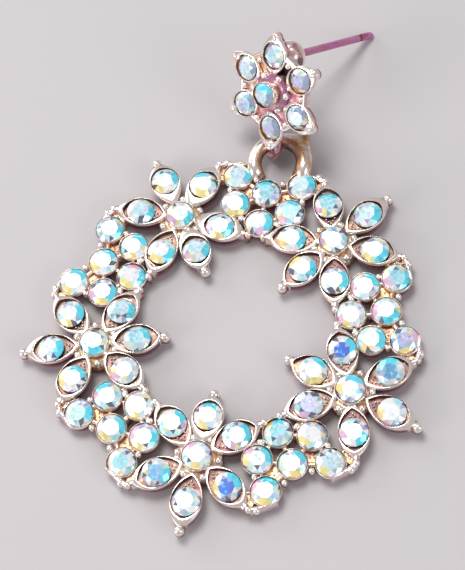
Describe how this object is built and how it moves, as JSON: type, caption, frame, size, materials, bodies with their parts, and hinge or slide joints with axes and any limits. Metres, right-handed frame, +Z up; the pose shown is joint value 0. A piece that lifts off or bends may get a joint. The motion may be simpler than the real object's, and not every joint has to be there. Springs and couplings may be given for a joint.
{
  "type": "chandelier drop earring with a flower wreath",
  "caption": "Drop earring lying flat: an open wreath of pointed-petal flowers and round stone clusters hangs by its ring from a small flower stud with an ear post.",
  "frame": {"origin": "on the surface that the earring lies on, under the middle of its whole outline", "axes": "+Z up, away from the surface and out of the wreath's front; +Y along the earring, from the wreath towards the ring and the stud; +X to the wearer's view right of the wreath's front"},
  "size_m": [0.036, 0.0516, 0.011],
  "materials": {
    "plated_metal": "polished pale gold plating, darker and warmer in the recesses",
    "coated_crystal": "clear cut crystal with an iridescent coating, pale cyan, yellow and lilac"
  },
  "bodies": {
    "root": {"wreath_setting": "plated_metal", "stud_setting": "plated_metal", "flower_1_hub_stone": "coated_crystal", "flower_1_outward_stone": "coated_crystal", "flower_1_outer_left_stone": "coated_crystal", "flower_1_inner_left_stone": "coated_crystal", "flower_1_inward_stone": "coated_crystal", "flower_1_inner_right_stone": "coated_crystal", "flower_1_outer_right_stone": "coated_crystal", "flower_2_hub_stone": "coated_crystal", "flower_2_outward_stone": "coated_crystal", "flower_2_outer_left_stone": "coated_crystal", "flower_2_inner_left_stone": "coated_crystal", "flower_2_inward_stone": "coated_crystal", "flower_2_inner_right_stone": "coated_crystal", "flower_2_outer_right_stone": "coated_crystal", "flower_3_hub_stone": "coated_crystal", "flower_3_outward_stone": "coated_crystal", "flower_3_outer_left_stone": "coated_crystal", "flower_3_inner_left_stone": "coated_crystal", "flower_3_inward_stone": "coated_crystal", "flower_3_inner_right_stone": "coated_crystal", "flower_3_outer_right_stone": "coated_crystal", "flower_4_hub_stone": "coated_crystal", "flower_4_outward_stone": "coated_crystal", "flower_4_outer_left_stone": "coated_crystal", "flower_4_inner_left_stone": "coated_crystal", "flower_4_inward_stone": "coated_crystal", "flower_4_inner_right_stone": "coated_crystal", "flower_4_outer_right_stone": "coated_crystal", "flower_5_hub_stone": "coated_crystal", "flower_5_outward_stone": "coated_crystal", "flower_5_outer_left_stone": "coated_crystal", "flower_5_inner_left_stone": "coated_crystal", "flower_5_inward_stone": "coated_crystal", "flower_5_inner_right_stone": "coated_crystal", "flower_5_outer_right_stone": "coated_crystal", "stud_hub_stone": "coated_crystal", "stud_petal_1_stone": "coated_crystal", "stud_petal_2_stone": "coated_crystal", "stud_petal_3_stone": "coated_crystal", "stud_petal_4_stone": "coated_crystal", "stud_petal_5_stone": "coated_crystal", "stud_petal_6_stone": "coated_crystal"}
  },
  "joints": []
}
